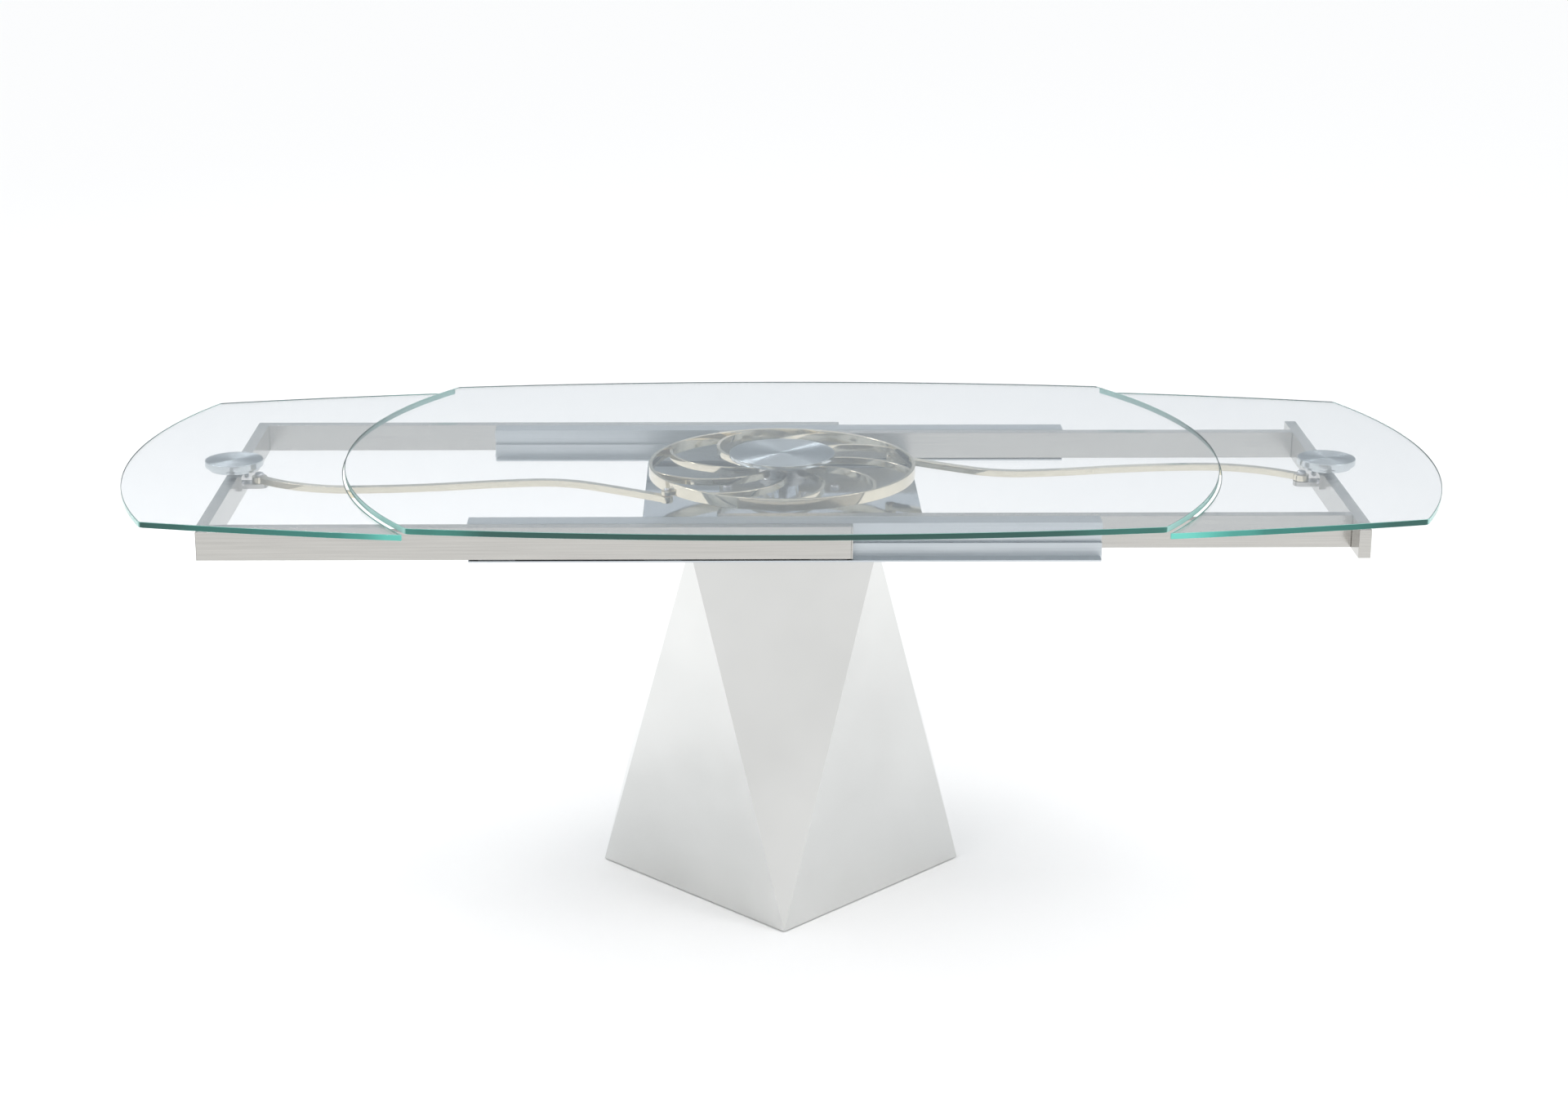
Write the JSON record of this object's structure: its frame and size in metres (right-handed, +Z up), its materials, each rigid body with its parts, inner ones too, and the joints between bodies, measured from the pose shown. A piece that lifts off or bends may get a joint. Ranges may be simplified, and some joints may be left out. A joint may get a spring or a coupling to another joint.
{
  "type": "extendable dining table",
  "caption": "Glass dining table with a boat-shaped top: end leaves slide under the centre pane, moved by a spoked wheel and curved rods, on a faceted polished pedestal.",
  "frame": {"origin": "on the floor under the middle of the table", "axes": "+X along the table's length towards the right leaf, +Y across the table, +Z up"},
  "size_m": [2.25, 0.9996, 0.765],
  "materials": {
    "clear_glass": "clear tempered glass with polished green edge",
    "brushed_aluminium": "spun and brushed",
    "polished_steel": "mirror-polished stainless steel",
    "satin_steel": "satin nickel plated steel",
    "rail_aluminium": "polished extrusion",
    "pale_gold": "polished pale gold plating",
    "bearing_bronze": "turned bearing bronze",
    "bright_fasteners": "bright chromed steel",
    "white_nylon": "natural nylon",
    "grey_plastic": "fine moulded grain",
    "painted_ballast": "black primer"
  },
  "bodies": {
    "root": {"base_shell": "polished_steel", "base_floor_plate": "painted_ballast", "floor_glides": "white_nylon", "neck_block": "brushed_aluminium", "neck_bolts": "bright_fasteners", "mounting_plate": "polished_steel", "front_rail": "rail_aluminium", "rear_rail": "rail_aluminium", "rail_end_caps": "rail_aluminium", "rail_end_screws": "bright_fasteners", "rail_bolts": "bright_fasteners", "glide_pads": "grey_plastic", "column": "polished_steel", "column_bolts": "bright_fasteners", "column_flare": "brushed_aluminium", "flare_screws": "bright_fasteners", "centre_disc": "brushed_aluminium", "centre_glass": "clear_glass", "thrust_collar": "satin_steel"},
    "wheel": {"wheel_ring": "pale_gold", "spoke_1": "pale_gold", "spoke_2": "pale_gold", "spoke_3": "pale_gold", "spoke_4": "pale_gold", "spoke_5": "pale_gold", "spoke_6": "pale_gold", "spoke_7": "pale_gold", "spoke_8": "pale_gold", "spoke_9": "pale_gold", "wheel_hub": "satin_steel", "hub_bush": "bearing_bronze", "rim_lugs": "pale_gold", "rim_pins": "bright_fasteners"},
    "left_carriage": {"left_leaf_glass": "clear_glass", "left_disc": "brushed_aluminium", "left_disc_step": "brushed_aluminium", "left_front_tube": "satin_steel", "left_rear_tube": "satin_steel", "left_crossbar": "satin_steel", "left_runners": "white_nylon", "left_tube_plugs": "satin_steel", "left_bracket": "satin_steel", "left_bracket_screws": "bright_fasteners", "left_pivot_pin": "bright_fasteners"},
    "right_carriage": {"right_leaf_glass": "clear_glass", "right_disc": "brushed_aluminium", "right_disc_step": "brushed_aluminium", "right_front_tube": "satin_steel", "right_rear_tube": "satin_steel", "right_crossbar": "satin_steel", "right_runners": "white_nylon", "right_tube_plugs": "satin_steel", "right_bracket": "satin_steel", "right_bracket_screws": "bright_fasteners", "right_pivot_pin": "bright_fasteners"},
    "left_link": {"left_rod": "pale_gold", "left_rod_bushes": "bearing_bronze"},
    "right_link": {"right_rod": "pale_gold", "right_rod_bushes": "bearing_bronze"}
  },
  "joints": [
    {"name": "left_slide", "type": "slide", "parent": "root", "child": "left_carriage", "axis": [1, 0, 0], "range_m": [0, 0.375]},
    {"name": "right_slide", "type": "slide", "parent": "root", "child": "right_carriage", "axis": [-1, 0, 0], "range_m": [0, 0.375]},
    {"name": "wheel_spin", "type": "hinge", "parent": "root", "child": "wheel", "pos_m": [0, 0, 0.727], "axis": [0, 0, 1], "range_deg": [0, 103.12]},
    {"name": "left_rod_swing", "type": "hinge", "parent": "left_carriage", "child": "left_link", "pos_m": [-0.905, 0, 0.7085], "axis": [0, 0, 1], "range_deg": [-2.64, 0]},
    {"name": "right_rod_swing", "type": "hinge", "parent": "right_carriage", "child": "right_link", "pos_m": [0.905, 0, 0.7085], "axis": [0, 0, 1], "range_deg": [-2.64, 0]}
  ],
  "couplings": [
    {"joint": "right_slide", "follows": "left_slide", "ratio": 1},
    {"joint": "wheel_spin", "follows": "left_slide", "rad_per_m": 4.7993},
    {"joint": "left_rod_swing", "follows": "left_slide", "rad_per_m": -0.12293},
    {"joint": "right_rod_swing", "follows": "left_slide", "rad_per_m": -0.12293}
  ]
}
